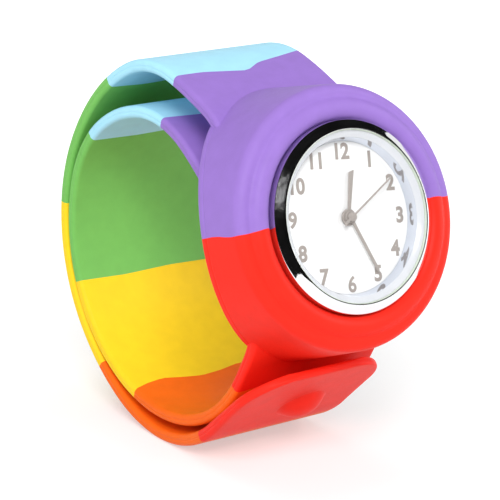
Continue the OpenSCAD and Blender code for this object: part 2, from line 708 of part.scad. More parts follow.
// Crown
stem_from = 3.5;
neck_from = 5;
neck_l = 0.3;
neck_r = 0.2;
neck_play = 0.025;
yoke_w = 1.1;
seal_r = 0.12;
crown_bore = 0.5;
crown_ribs = 18;
rib_r = 0.12;
module crown_gasket() color("black") module_on()
  translate([case_in_r + 2 * seal_r, 0, stem_z]) rotate([0, 90, 0])
    rotate_extrude() translate([stem_r + run_gap / 4 + seal_r, 0]) circle(seal_r);
module crown() color("silver") module_on() translate([case_r + run_gap, 0, stem_z])
  rotate([0, 90, 0]) difference() {
    linear_extrude(crown_l) difference() {
      circle(crown_r);
      for (k = [0 : crown_ribs - 1]) rotate(k * 360 / crown_ribs) translate([crown_r, 0]) circle(rib_r);
    }
    translate([0, 0, -over]) cylinder(h = crown_bore + over, r = stem_r);
  }
module stem() color("silver") module_on() {
  along_stem(stem_from, neck_from, stem_r);
  along_stem(neck_from, neck_from + neck_l, neck_r);
  along_stem(neck_from + neck_l, case_r + run_gap + crown_bore, stem_r);
}
// Fork that rides in the neck of the stem and moves with it when the crown is pulled
module stem_yoke() color("silver") module_on() difference() {
  translate([neck_from + neck_play, -yoke_w / 2, stem_z - yoke_w / 2])
    cube([neck_l - 2 * neck_play, yoke_w, yoke_w]);
  along_stem(neck_from - over, neck_from + over, neck_r + neck_play);
}

housing_upper();
housing_lower();
root_upper();
root_lower();
band_head();
strap_outer_purple();
strap_outer_blue();
band_outer_1();
strap_outer_green();
band_outer_2();
strap_outer_yellow();
band_outer_3();
strap_outer_orange();
band_outer_4();
strap_outer_red();
band_outer_5();
strap_inner_orange();
band_inner_1();
strap_inner_yellow();
band_inner_2();
strap_inner_green();
band_inner_3();
strap_inner_blue();
band_inner_4();
strap_inner_purple();
band_inner_5();
strap_inner_tip();
band_inner_tip();
module_case();
bezel();
crystal();
crystal_gasket();
rehaut();
dial();
movement_holder();
main_plate();
train_bridge();
bridge_screws();
battery();
battery_clip();
coil();
stator();
circuit_board();
quartz_can();
case_back();
case_back_gasket();
rotor();
intermediate_wheel();
second_wheel();
second_hand();
third_wheel();
centre_wheel();
minute_hand();
minute_wheel();
hour_wheel();
hour_hand();
crown_gasket();
stem_yoke();
crown();
stem();
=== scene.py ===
import math

import bpy
import numpy as np
from mathutils import Matrix, Vector

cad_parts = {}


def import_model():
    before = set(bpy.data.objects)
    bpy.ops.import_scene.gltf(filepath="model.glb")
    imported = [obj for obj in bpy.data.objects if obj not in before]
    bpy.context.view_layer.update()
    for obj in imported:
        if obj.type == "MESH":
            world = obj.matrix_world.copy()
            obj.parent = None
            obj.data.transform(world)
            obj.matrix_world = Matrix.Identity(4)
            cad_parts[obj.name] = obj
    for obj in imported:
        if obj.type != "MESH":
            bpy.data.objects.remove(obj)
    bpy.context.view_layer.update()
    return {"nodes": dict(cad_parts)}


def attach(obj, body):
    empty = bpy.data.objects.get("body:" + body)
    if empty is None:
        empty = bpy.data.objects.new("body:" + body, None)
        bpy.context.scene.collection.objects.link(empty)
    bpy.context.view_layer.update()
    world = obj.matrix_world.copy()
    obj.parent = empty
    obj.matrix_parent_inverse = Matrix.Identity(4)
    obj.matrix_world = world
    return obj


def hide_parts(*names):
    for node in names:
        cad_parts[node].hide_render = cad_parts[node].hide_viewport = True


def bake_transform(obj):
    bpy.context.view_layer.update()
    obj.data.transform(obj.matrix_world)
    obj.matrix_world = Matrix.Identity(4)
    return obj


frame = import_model()
nodes = frame["nodes"]

# Sizes of the head and the strap, in mm
MM = 0.001                      # in metres
TILT = math.radians(16.0)       # lean of the dial
TURN = math.radians(6.0)        # the module sits turned in its cup
AHEAD = 29.2401                 # from the middle of the coil forward to the bezel's centre
RAISED = 42.2977                # from the coil's lowest point up to the bezel's centre
STRAP_T = 2.0
HALF_W = 13.0                   # half of the strap's width
EDGE = 0.7                      # radius of the strap's edges
WRIST_R = 34.0                  # radius of the strap's outer face behind the head
DEPTH = 8.0                     # from the bezel's centre back to that face
WRIST = np.array([DEPTH + WRIST_R, 0.0])
MID_R = WRIST_R - STRAP_T / 2
ROOT = math.radians(30.0)       # half of the arc that the strap makes through the housing
BORDER_Z = 0.5                  # the two colours of the head meet above the dial's middle

# The strap's halves as runs of arcs: side 1 is the outer half and -1 the inner one. Each run has
# its length as a share of LENGTH, and its sweep as a share of a right angle.
LENGTH_PER_R = 4.47
LENGTH = LENGTH_PER_R * WRIST_R
RUN_SHARES = {
    1: [0.020, 0.026, 0.040, 0.078, 0.056, 0.095, 0.095, 0.101, 0.105, 0.093, 0.090],
    -1: [0.020, 0.033, 0.118, 0.120, 0.082, 0.085, 0.098, 0.098, 0.075, 0.102, 0.068, 0.060],
}
SWEEP_SHARES = {
    1: [0.2111, 0.0278, 0.0589, 0.4522, 0.1656, 0.2667, 0.3356, 0.3656, 0.3056, 0.3911, 0.3278],
    -1: [0.1678, 0.0278, 0.4656, 0.4100, 0.2789, 0.3200, 0.3567, 0.4411, 0.2633, 0.4911, 0.1289,
         0.3322],
}
TIP_L = {1: 18.45, -1: 11.55}   # straight ends after the last runs
TIP_R = {1: 8.0, -1: 10.0}      # radius of their corners
TIP_T = 1.3                     # their thickness at the end
TIP_EDGE_LESS = 0.12            # how much sharper their edges get

# Where each colour starts along a half, and the uneven line in which it starts: places across the
# strap, and how far the line is shifted along it there
BORDERS = {
    1: [
        (0, "purple", (), ()),
        (12.2, "blue", (-13, -11.9, -7.8, -3.9, 0, 3.3, 8.8, 12.6),
         (-0.7, -0.6, -0.6, -1.2, -1.8, 0.1, 1.2, 2.0)),
        (30.9, "green", (-13, -6, 0, 7, 13), (-0.4, 0.3, -0.2, 0.3, 0.0)),
        (57.6, "yellow", (-13, -5, 2, 8, 13), (0.2, -0.3, 0.3, -0.2, 0.1)),
        (87.0, "orange", (-13, -6, 1, 7, 13), (-1.0, -0.4, 0.4, 0.8, 1.0)),
        (118.4, "red", (-13, -5, 3, 13), (-0.6, 0.2, -0.2, 0.4)),
    ],
    -1: [
        (0, "red", (), ()),
        (9.2, "orange", (-13, -6, 2, 13), (0.5, -0.1, -0.3, -0.4)),
        (42.4, "yellow", (-13, -10, -6.8, -3.5, 0, 3.9, 7.9, 13),
         (-0.1, 0.8, 1.2, 0.3, -0.5, -0.2, 0.6, 0.2)),
        (66.5, "green", (-13, -4, 5, 13), (0.3, -0.1, 0.1, -0.2)),
        (95.9, "blue", (-13, -4, 5, 13), (0.2, -0.2, 0.2, -0.1)),
        (120.2, "purple", (-13, -6, 4, 13), (-0.5, 0.1, 0.3, 0.4)),
    ],
}
WAVE_ZONE = 6.5                 # a line's shifts fade out over this length
ASIDE = 2.3                     # the outer tip lies this far to the side of the rest
ASIDE_FROM = 98.0               # where that begins along the strap
ASIDE_OVER = 40.0               # and over what length it grows


def lean(v):
    """A direction of the upright head (x right, y back, z up) in the row frame."""
    c, s = math.cos(TILT), math.sin(TILT)
    return np.array([v[0], v[1] * c + v[2] * s, v[2] * c - v[1] * s])


def world(p):
    """Points of the upright head, in mm, in the row frame, in metres."""
    p = np.asarray(p, float)
    x, y, z = p[..., 0], p[..., 1], p[..., 2]
    c, s = math.cos(TILT), math.sin(TILT)
    return np.stack([x, y * c + z * s - AHEAD, z * c - y * s + RAISED], -1) * MM


def module(p):
    """Points of the module (x right, y up, z to the front, mm) in the row frame, in metres."""
    p = np.asarray(p, float)
    x, y, z = p[..., 0], p[..., 1], p[..., 2]
    c, s = math.cos(TURN), math.sin(TURN)
    return world(np.stack([x * c + y * s, -z, -x * s + y * c], -1))


def side_view(w, p):
    """Points at w across the strap and at p in its side view, in the row frame, as one list."""
    return world(np.stack([w, p[..., 0], p[..., 1]], -1)).reshape(-1, 3)


# Camera: its directions and place against the upright head, as worked out from the photo
CAM_RIGHT = (0.8110, -0.5620, -0.1630)
CAM_BACK = (-0.563, -0.825, 0.043)
CAM_AT = (-196.5, -259.6, 11.65)
CAM_LENS = 158.4
CAM_SENSOR = 36.0
CAM_NEAR, CAM_FAR = 0.01, 20.0  # in metres


def aim():
    """The camera, which has the photo's view."""
    cam = bpy.data.objects.new("camera", bpy.data.cameras.new("camera"))
    bpy.context.scene.collection.objects.link(cam)
    back = Vector(lean(CAM_BACK)).normalized()
    right = Vector(lean(CAM_RIGHT))
    right = (right - right.dot(back) * back).normalized()
    up = back.cross(right)
    m = Matrix((right, up, back)).transposed().to_4x4()
    m.translation = Vector(world(CAM_AT))
    cam.matrix_world = m
    cam.data.lens = CAM_LENS
    cam.data.sensor_width = CAM_SENSOR
    cam.data.sensor_fit = "HORIZONTAL"
    cam.data.clip_start = CAM_NEAR
    cam.data.clip_end = CAM_FAR
    bpy.context.scene.camera = cam


aim()

# Parts of node materials
WHITE = (1, 1, 1, 1)
COLOUR_A, COLOUR_B, COLOUR_OUT = 6, 7, 2    # the colour sockets of a mix node
NOISE_LOW, NOISE_HIGH = 0.3, 0.7            # between these lies most of what a noise gives
WIDE = 9.0                                  # colour varies this many times as wide as gloss


def linear(c):
    """A colour as it is seen on a screen, made linear."""
    return tuple(v / 12.92 if v <= 0.04045 else ((v + 0.055) / 1.055) ** 2.4 for v in c)


def new_material(name):
    m = bpy.data.materials.new(name)
    m.use_nodes = True
    t = m.node_tree
    t.nodes.clear()
    return m, t, t.nodes.new("ShaderNodeOutputMaterial")


def noise(t, scale, detail=2.0, stretch=(1, 1, 1)):
    co = t.nodes.new("ShaderNodeTexCoord")
    mp = t.nodes.new("ShaderNodeMapping")
    mp.inputs["Scale"].default_value = stretch
    n = t.nodes.new("ShaderNodeTexNoise")
    n.inputs["Scale"].default_value = scale
    n.inputs["Detail"].default_value = detail
    t.links.new(co.outputs["Object"], mp.inputs["Vector"])
    t.links.new(mp.outputs["Vector"], n.inputs["Vector"])
    return n.outputs["Fac"]


def ranged(t, fac, low, high, a=NOISE_LOW, b=NOISE_HIGH):
    """From low to high as fac goes from a to b."""
    r = t.nodes.new("ShaderNodeMapRange")
    r.inputs["From Min"].default_value = a
    r.inputs["From Max"].default_value = b
    r.inputs["To Min"].default_value = low
    r.inputs["To Max"].default_value = high
    t.links.new(fac, r.inputs["Value"])
    return r.outputs["Result"]


def blended(t, fac, a, b):
    """From colour a to colour b as fac goes from 0 to 1."""
    m = t.nodes.new("ShaderNodeMix")
    m.data_type = "RGBA"
    m.inputs[COLOUR_A].default_value = (*a, 1)
    m.inputs[COLOUR_B].default_value = (*b, 1)
    t.links.new(fac, m.inputs[0])
    return m.outputs[COLOUR_OUT]


def maths(t, operation, a, b):
    """A maths node on two values, each of them a number or a socket."""
    n = t.nodes.new("ShaderNodeMath")
    n.operation = operation
    for socket, v in zip(n.inputs, (a, b)):
        if isinstance(v, float):
            socket.default_value = v
        else:
            t.links.new(v, socket)
    return n.outputs[0]


def mixed(t, fac, a, b):
    """From shader a to shader b as fac goes from 0 to 1."""
    m = t.nodes.new("ShaderNodeMixShader")
    t.links.new(fac, m.inputs[0])
    t.links.new(a.outputs[0], m.inputs[1])
    t.links.new(b.outputs[0], m.inputs[2])
    return m.outputs[0]


def matt(t, scale, dark, light):
    """A diffuse grey that varies a little."""
    p = t.nodes.new("ShaderNodeBsdfDiffuse")
    grey = blended(t, ranged(t, noise(t, scale), 0, 1), (dark,) * 3, (light,) * 3)
    t.links.new(grey, p.inputs["Color"])
    return p


def surface(name, rgb, metallic, rough, grain, vary, bump, deep, stretch=(1, 1, 1), specular=0.5):
    """A moulded, plated or cut surface whose colour, gloss and height vary, with a grain in mm."""
    m, t, out = new_material(name)
    p = t.nodes.new("ShaderNodeBsdfPrincipled")
    base = linear(rgb)
    light = tuple(min(1, v * (1 + vary)) for v in base)
    dark = tuple(v * (1 - vary) for v in base)
    wide = noise(t, 1 / (grain * WIDE * MM), 3.0, stretch)
    fine = noise(t, 1 / (grain * MM), 2.0, stretch)
    t.links.new(blended(t, ranged(t, wide, 0, 1), dark, light), p.inputs["Base Color"])
    t.links.new(ranged(t, fine, *rough), p.inputs["Roughness"])
    p.inputs["Metallic"].default_value = metallic
    p.inputs["Specular IOR Level"].default_value = specular
    b = t.nodes.new("ShaderNodeBump")
    b.inputs["Strength"].default_value = bump
    b.inputs["Distance"].default_value = deep * MM
    t.links.new(fine, b.inputs["Height"])
    t.links.new(b.outputs["Normal"], p.inputs["Normal"])
    t.links.new(p.outputs["BSDF"], out.inputs["Surface"])
    return m


# Finishes
SILICONE = {
    "purple": (0.592, 0.46, 0.782), "red": (0.98, 0.17, 0.11), "orange": (0.98, 0.42, 0.08),
    "yellow": (0.99, 0.83, 0.14), "green": (0.46, 0.74, 0.36), "blue": (0.66, 0.88, 0.96),
}
SILICONE_SPECULAR = 0.14
# Each has a name, a colour, its metallic share, its lowest and highest roughness, its grain in mm,
# how much its colour varies, and the strength and the depth in mm of its relief
FINISHES = {
    "chrome": ("chrome", (0.93, 0.93, 0.94), 1.0, (0.03, 0.07), 0.6, 0.02, 0.05, 0.001),
    "rehaut": ("rehaut_chrome", (0.86, 0.88, 0.92), 1.0, (0.05, 0.10), 0.6, 0.02, 0.05, 0.001),
    "steel": ("brushed_steel", (0.70, 0.70, 0.70), 1.0, (0.22, 0.34), 0.08, 0.06, 0.25, 0.003),
    "spring": ("spring_steel", (0.66, 0.66, 0.68), 1.0, (0.2, 0.32), 0.06, 0.05, 0.2, 0.002),
    "dial": ("dial_white", (0.975, 0.975, 0.975), 0.0, (0.35, 0.45), 0.12, 0.012, 0.1, 0.002),
    "print": ("dial_print", (0.66, 0.625, 0.60), 0.0, (0.35, 0.5), 0.1, 0.05, 0.2, 0.002),
    "hand": ("hand_grey", (0.66, 0.63, 0.61), 0.0, (0.25, 0.35), 0.06, 0.05, 0.15, 0.002),
    "nylon": ("gasket_nylon", (0.82, 0.86, 0.80), 0.0, (0.3, 0.4), 0.2, 0.05, 0.1, 0.003),
    "ledge": ("ledge_white", (0.86, 0.87, 0.89), 0.0, (0.12, 0.2), 0.3, 0.02, 0.05, 0.002),
    "holder": ("holder_plastic", (0.86, 0.86, 0.84), 0.0, (0.4, 0.55), 0.2, 0.04, 0.2, 0.01),
    "brass": ("wheel_brass", (0.83, 0.69, 0.42), 1.0, (0.2, 0.3), 0.08, 0.06, 0.2, 0.002),
    "bridge": ("bridge_brass", (0.78, 0.66, 0.44), 1.0, (0.28, 0.4), 0.1, 0.08, 0.25, 0.003),
    "small": ("small_steel", (0.75, 0.75, 0.77), 1.0, (0.12, 0.2), 0.08, 0.04, 0.15, 0.002),
    "magnet": ("magnet_dark", (0.25, 0.25, 0.27), 0.7, (0.35, 0.5), 0.06, 0.15, 0.3, 0.004),
    "copper": ("coil_copper", (0.80, 0.45, 0.27), 1.0, (0.25, 0.35), 0.05, 0.12, 0.6, 0.02),
    "board": ("board_green", (0.12, 0.40, 0.24), 0.0, (0.25, 0.4), 0.3, 0.2, 0.3, 0.01),
    "black": ("seal_black", (0.06, 0.06, 0.06), 0.0, (0.35, 0.5), 0.1, 0.2, 0.3, 0.006),
}
SILICONE_LOOK = (0.0, (0.42, 0.52), 0.25, 0.03, 0.25, 0.012)   # the same, after name and colour
# Brushed, rolled and wound finishes have their grain drawn out in one direction
DRAWN_OUT = {
    "steel": (1, 1, 0.05), "spring": (0.04, 1, 1), "hand": (1, 0.1, 1), "bridge": (1, 1, 0.08),
    "copper": (1, 0.05, 1),
}
GLASS_INDEX = 1.35
GLASS_GRAIN = 160
GLASS_ROUGH = (0.0, 0.03)


def glass_material():
    """Clear glass with a mirror on its outer faces."""
    m, t, out = new_material("crystal_glass")
    clear = t.nodes.new("ShaderNodeBsdfTransparent")
    gloss = t.nodes.new("ShaderNodeBsdfGlossy")
    for shader in (clear, gloss):
        shader.inputs["Color"].default_value = WHITE
    t.links.new(ranged(t, noise(t, GLASS_GRAIN), *GLASS_ROUGH), gloss.inputs["Roughness"])
    fresnel = t.nodes.new("ShaderNodeFresnel")
    fresnel.inputs["IOR"].default_value = GLASS_INDEX
    # only outer faces mirror: from inside, a slanting view of the glass would be a full mirror
    geometry = t.nodes.new("ShaderNodeNewGeometry")
    outer = maths(t, "SUBTRACT", 1.0, geometry.outputs["Backfacing"])
    shine = maths(t, "MULTIPLY", fresnel.outputs["Fac"], outer)
    t.links.new(mixed(t, shine, clear, gloss), out.inputs["Surface"])
    return m


MAT = {}
for name, rgb in SILICONE.items():
    MAT[name] = surface("silicone_" + name, rgb, *SILICONE_LOOK, specular=SILICONE_SPECULAR)
for name, finish in FINISHES.items():
    MAT[name] = surface(*finish, stretch=DRAWN_OUT.get(name, (1, 1, 1)))
MAT["glass"] = glass_material()


# Meshes
def make(name, verts, faces, material, body=None, smooth=True):
    """A piece of one material, which rides on a body if one is named."""
    me = bpy.data.meshes.new(name)
    me.from_pydata([tuple(v) for v in verts], [], [tuple(f) for f in faces])
    me.validate()
    me.materials.append(MAT[material])
    me.polygons.foreach_set("use_smooth", [smooth] * len(me.polygons))
    me.update()
    o = bpy.data.objects.new(name, me)
    bpy.context.scene.collection.objects.link(o)
    if body:
        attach(o, body)
    return o


def grid_faces(rings, n, flip=False):
    """Faces between rings of n points each."""
    out = []
    for j in range(rings - 1):
        for k in range(n):
            a, b = j * n + k, j * n + (k + 1) % n
            q = (a, b, b + n, a + n)
            out.append(q[::-1] if flip else q)
    return out


def eased(f):
    """From 0 to 1 with a soft start and a soft end."""
    return f * f * (3 - 2 * f)


# Strap
CORNER, FACE = 5, 22            # points of a rounded edge, and across a face
NOTCH = 0.05                    # depth of the parting line round the strap's edges
NOTCH_IN, NOTCH_OUT = 0.03, 0.09    # half of its width at the bottom and at the top
LEAST_WALL = 0.02               # half of the wall between the rounded edges is at least this high
STEP, TIP_STEP, BAND_STEP = 0.9, 0.5, 1.2
END_STEP = 0.04                 # a short step at each end of a stretch, so that its shading ends flat
TIP_CLEAR = 0.7                 # the plain sections stop this far from a tip's end
TIP_ROUND = 0.6                 # length and
TIP_SINK = 0.55                 # depth of the rounding there
TIP_STEPS = 7
TIP_LAST = 1e-4                 # the width there is read this far before the end
LEAST_HALF_W, LEAST_EDGE = 2.0, 0.08
BAND_HALF_W, BAND_HALF_T = 10, 0.1
BAND_SHORT = 5.0                # the spring band ends this far from a tip
ROOT_END = 1.5                  # the root reaches this far into each half
ROOT_PLACES = (0.3, 0.6, 0.9, 1.2, 1.46, ROOT_END)


class Half:
    """One half of the strap in its side view: x runs back, y up, and s along it from the housing."""

    def __init__(self, side):
        start_r = WRIST_R - (STRAP_T if side > 0 else 0)
        p = WRIST + start_r * np.array([-math.cos(ROOT), side * math.sin(ROOT)])
        h, s = side * (math.pi / 2 - ROOT), 0.0
        self.side, self.rows = side, []
        for run, sweep in zip(RUN_SHARES[side], SWEEP_SHARES[side]):
            length, angle = run * LENGTH, math.pi / 2 * sweep
            r = length / angle
            c = p + r * side * np.array([math.sin(h), -math.cos(h)])
            self.rows.append((s, s + length, r, c, h))
            s += length
            h -= side * angle
            p = c - r * side * np.array([math.sin(h), -math.cos(h)])
        self.straight, self.total, self.p, self.h = s, s + TIP_L[side], p, h

    def at(self, s):
        """Middle of the thickness, and the normal away from the wrist, at each s."""
        s = np.asarray(s, float)
        pts, nrm = np.zeros(s.shape + (2,)), np.zeros(s.shape + (2,))
        side = self.side
        for i, (a, b, r, c, h0) in enumerate(self.rows):
            m = (s < b) & ((s >= a) | (i == 0))
            h = h0 - side * (s[m] - a) / r
            sn = np.stack([np.sin(h), -np.cos(h)], -1)
            pts[m] = c - r * side * sn
            nrm[m] = -side * sn
        m = s >= self.straight
        d = np.array([math.cos(self.h), math.sin(self.h)])
        pts[m] = self.p + (s[m] - self.straight)[:, None] * d
        nrm[m] = side * np.array([-math.sin(self.h), math.cos(self.h)])
        return pts + nrm * (side * STRAP_T / 2), nrm

    def thinned(self, s):
        """How much thinner the tip is at s."""
        return (STRAP_T - TIP_T) * (s - self.straight) / TIP_L[self.side]


OUTER, INNER = Half(1), Half(-1)


def outline(hw, out, inn, edge):
    """Loop of the section: width and height from the middle, outer face first."""
    flat = hw - edge
    mid = (out - inn) / 2
    room = max(LEAST_WALL, (out + inn) / 2 - edge)
    across = [-flat + 2 * flat * k / (FACE - 1) for k in range(FACE)]
    turns = [math.pi / 2 * k / CORNER for k in range(1, CORNER)]
    wall = [(room, 0), (NOTCH_OUT, 0), (NOTCH_IN, NOTCH), (-NOTCH_IN, NOTCH), (-NOTCH_OUT, 0), (-room, 0)]
    wall = [(max(-room, min(room, t)), d) for t, d in wall]
    pts = [(w, out) for w in across]
    pts += [(flat + edge * math.sin(a), out - edge * (1 - math.cos(a))) for a in turns]
    pts += [(hw - d, mid + t) for t, d in wall]
    pts += [(flat + edge * math.cos(a), -inn + edge * (1 - math.sin(a))) for a in turns]
    pts += [(-w, -inn) for w in across]
    pts += [(-flat - edge * math.sin(a), -inn + edge * (1 - math.cos(a))) for a in turns]
    pts += [(d - hw, mid - t) for t, d in wall]
    pts += [(-flat - edge * math.cos(a), out - edge * (1 - math.sin(a))) for a in turns]
    return np.array(pts)


def stations(a, b, step, ends=True):
    """Places from a to b at most a step apart, and if ends is set, one more close to each end."""
    n = max(2, int(math.ceil((b - a) / step)))
    s = list(np.linspace(a, b, n + 1))
    if ends:
        s = [s[0], s[0] + END_STEP] + s[1:-1] + [s[-1] - END_STEP, s[-1]]
    return np.array(s)


def section_at(half, s):
    """Half width, height of the outer and the inner face, and edge radius at s."""
    hw, out, inn, edge = HALF_W, STRAP_T / 2, STRAP_T / 2, EDGE
    if s > half.straight:
        if half.side > 0:
            out -= half.thinned(s)
        else:
            inn -= half.thinned(s)
        edge = EDGE - TIP_EDGE_LESS * (s - half.straight) / TIP_L[half.side]
    corner = TIP_R[half.side]
    over = s - (half.total - corner)
    if over > 0:
        hw = HALF_W - corner + math.sqrt(max(0.0, corner ** 2 - over ** 2))
    return hw, out, inn, edge


def drift(half, s):
    """How far a point is moved across, because the outer tip lies a little to the side."""
    f = np.clip((s - ASIDE_FROM) / ASIDE_OVER, 0, 1)
    return -ASIDE * eased(f) * (half.side > 0)


def wave(half, s, w):
    """How far along the strap a point is pulled, so that the colours meet in uneven lines."""
    d = np.zeros(np.broadcast(s, w).shape)
    for at, _, places, shifts in BORDERS[half.side][1:]:
        fall = np.clip(1 - np.abs(s - at) / WAVE_ZONE, 0, 1)
        d = d + np.interp(w, places, shifts) * eased(fall)
    return d


def end_sections(half):
    """Sections of the rounded end of a tip."""
    rows = []
    for k in range(1, TIP_STEPS + 1):
        f = math.pi / 2 * k / TIP_STEPS
        s = half.total - TIP_ROUND + TIP_ROUND * math.sin(f)
        hw, out, inn, edge = section_at(half, min(s, half.total - TIP_LAST))
        less = TIP_SINK * (1 - math.cos(f))
        hw = max(LEAST_HALF_W, hw - less * 0.5)
        rows.append((s, outline(hw, out - less, inn - less, max(LEAST_EDGE, edge - less))))
    return rows


def skin(name, half, a, b, colour, last):
    """A stretch of the silicone from s = a to s = b, open at its ends unless it is the last."""
    places = stations(a, b, TIP_STEP if last else STEP)
    if last:
        places = places[places < half.total - TIP_CLEAR]
    rows = [(s, outline(*section_at(half, s))) for s in places]
    if last:
        rows += end_sections(half)
    s = np.array([s for s, loop in rows])[:, None]
    loops = np.array([loop for s, loop in rows])
    w, t = loops[..., 0], loops[..., 1]
    s = s + wave(half, s, w)
    mid, nrm = half.at(s)
    verts = side_view(w + drift(half, s), mid + nrm * t[..., None])
    n = len(loops[0])
    faces = grid_faces(len(rows), n, flip=half.side < 0)
    if last:
        cap = list(range(len(verts) - n, len(verts)))
        faces.append(cap[::-1] if half.side < 0 else cap)
    return make(name, verts, faces, colour)


def band_loop(places):
    """Loop of the spring band's section, with points at these places across it."""
    return np.array([(w, BAND_HALF_T) for w in places] + [(w, -BAND_HALF_T) for w in places[::-1]])


def ribbon(name, half, a, b):
    """A stretch of the spring band inside the silicone."""
    s = stations(a, b, BAND_STEP, ends=False)
    loop = band_loop((-BAND_HALF_W, -BAND_HALF_W / 2, 0, BAND_HALF_W / 2, BAND_HALF_W))
    n, rings = len(loop), len(s)
    mid, nrm = half.at(np.repeat(s[:, None], n, 1))
    verts = side_view(np.tile(loop[:, 0], (rings, 1)), mid + nrm * loop[:, 1, None])
    faces = grid_faces(rings, n, flip=half.side < 0)
    caps = [list(range(n))[::-1], list(range((rings - 1) * n, rings * n))]
    faces += [c[::-1] if half.side < 0 else c for c in caps]
    return make(name, verts, faces, "spring", smooth=False)


def bent(o, half, a, b, body_a, body_b):
    """Bakes o's placement into its mesh; o does not bend between the bodies."""
    (p, _), (q, _) = half.at(np.array([a])), half.at(np.array([b]))
    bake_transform(o)


SLIVER = 0.2                    # no stretch is cut this close to its ends
SAME = 0.01                     # places closer than this count as one


def dress(half, word, mids, parts):
    """The skins and the spring band of a half, which stand for its nodes, body by body.

    mids are the middles of the bodies, where one bend meets the next, and parts are the colours of
    the nodes on each body."""
    bodies = ["head"] + ["%s_%d" % (word, k + 1) for k in range(len(parts))]
    borders = [(s, colour) for s, colour, _, _ in BORDERS[half.side]]
    for k, part in enumerate(parts):
        at_tip = k == len(parts) - 1
        a, b = mids[k], half.total if at_tip else mids[k + 1]
        bend = (half, a, mids[k + 1], bodies[k], bodies[k + 1])
        cuts = [a] + [s for s, _ in borders if a + SLIVER < s < b - SLIVER] + [b]
        for low, high in zip(cuts, cuts[1:]):
            colour = [c for s, c in borders if s <= low + SAME][-1]
            piece = "skin_%s_%d_%s" % (word, k + 1, colour)
            o = skin(piece, half, low, high, colour, at_tip and high == b)
            bent(o, *bend)
        spring = ribbon("spring_%s_%d" % (word, k + 1), half, a, b - BAND_SHORT if at_tip else b)
        bent(spring, *bend)
        for colour in part:
            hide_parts("strap_%s_%s" % (word, colour))
        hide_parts("band_%s_%d" % (word, k + 1))


dress(OUTER, "outer", [ROOT_END, 20.2, 47.9, 78.0, 107.5, 124.0],
      [["purple", "blue"], ["green"], ["yellow"], ["orange"], ["red"]])
dress(INNER, "inner", [ROOT_END, 26.1, 56.9, 84.5, 112.9, 139.7],
      [["orange"], ["yellow"], ["green"], ["blue"], ["purple"]])
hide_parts("strap_inner_tip")
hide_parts("band_inner_tip")

# Stud on the outer tip
STUD_H = 1.9
STUD_R = 4.0
STUD_BACK = 12.5                # from the end of the tip to its middle
STUD_ASIDE = 0.4
DOME_R = 3.55                   # its dome ends here, and flares into the strap
DOME_STEPS = 12
FLARE = 0.8
FLARE_SHARES = (0.3, 0.6, 0.85, 1.0)
FLARE_POWER = 1.8
FLARE_SINK = 0.02
STUD_AROUND = 48


def stud():
    """The round stud on the outer tip: a dome that flares into the strap."""
    ball = (STUD_R ** 2 + STUD_H ** 2) / (2 * STUD_H)
    profile = []
    for k in range(DOME_STEPS + 1):
        a = math.asin(DOME_R / ball) * k / DOME_STEPS
        profile.append((ball * math.sin(a), STUD_H - ball * (1 - math.cos(a))))
    r, z = profile[-1]
    for f in FLARE_SHARES:
        profile.append((r + FLARE * f, z * (1 - f) ** FLARE_POWER - FLARE_SINK * f))
    a = np.linspace(0, 2 * math.pi, STUD_AROUND, endpoint=False)
    pts = np.array([np.stack([r * np.cos(a), r * np.sin(a), np.full(len(a), z)], -1) for r, z in profile])
    s = OUTER.total - STUD_BACK + pts[..., 1]
    mid, nrm = OUTER.at(s)
    lift = STRAP_T / 2 - OUTER.thinned(s) + pts[..., 2]
    verts = side_view(pts[..., 0] - STUD_ASIDE, mid + nrm * lift[..., None])
    faces = grid_faces(len(profile), STUD_AROUND, flip=True)
    return make("stud_red", verts, faces, "red", "outer_5")


stud()


# Root of the strap, through the housing
ROOT_SECTIONS = 20              # along half of the arc
BAND_SECTIONS = 31              # along all of it


def arc_row(phi, t):
    """Heights t of the strap's section, at angle phi of its arc through the housing."""
    return WRIST + (MID_R + t)[:, None] * np.array([-math.cos(phi), math.sin(phi)])


def half_row(half, s, t):
    """Heights t of the strap's section, at s along a half."""
    mid, nrm = half.at(np.full(len(t), s))
    return mid + nrm * t[:, None]


def root(name, top, colour):
    """The strap's root through the housing, from the middle to one side."""
    loop = outline(HALF_W, STRAP_T / 2, STRAP_T / 2, EDGE)
    w, t = loop[:, 0], loop[:, 1]
    first = math.asin(BORDER_Z / MID_R)
    rows = [arc_row(phi, t) for phi in np.linspace(first, ROOT if top else -ROOT, ROOT_SECTIONS)]
    rows += [half_row(OUTER if top else INNER, s, t) for s in ROOT_PLACES]
    verts = side_view(np.tile(w, (len(rows), 1)), np.array(rows))
    return make(name, verts, grid_faces(len(rows), len(loop), flip=not top), colour, "head")


def head_spring():
    """The spring band through the housing."""
    loop = band_loop((-BAND_HALF_W, 0, BAND_HALF_W))
    w, t = loop[:, 0], loop[:, 1]
    rows = [half_row(OUTER, s, t) for s in (ROOT_END, ROOT_END / 2)]
    rows += [arc_row(phi, t) for phi in np.linspace(ROOT, -ROOT, BAND_SECTIONS)]
    rows += [half_row(INNER, s, t) for s in (ROOT_END / 2, ROOT_END)]
    verts = side_view(np.tile(w, (len(rows), 1)), np.array(rows))
    n = len(loop)
    faces = grid_faces(len(rows), n, flip=True)
    faces += [list(range(n)), list(range(len(verts) - n, len(verts)))[::-1]]
    return make("spring_head", verts, faces, "spring", "head", smooth=False)


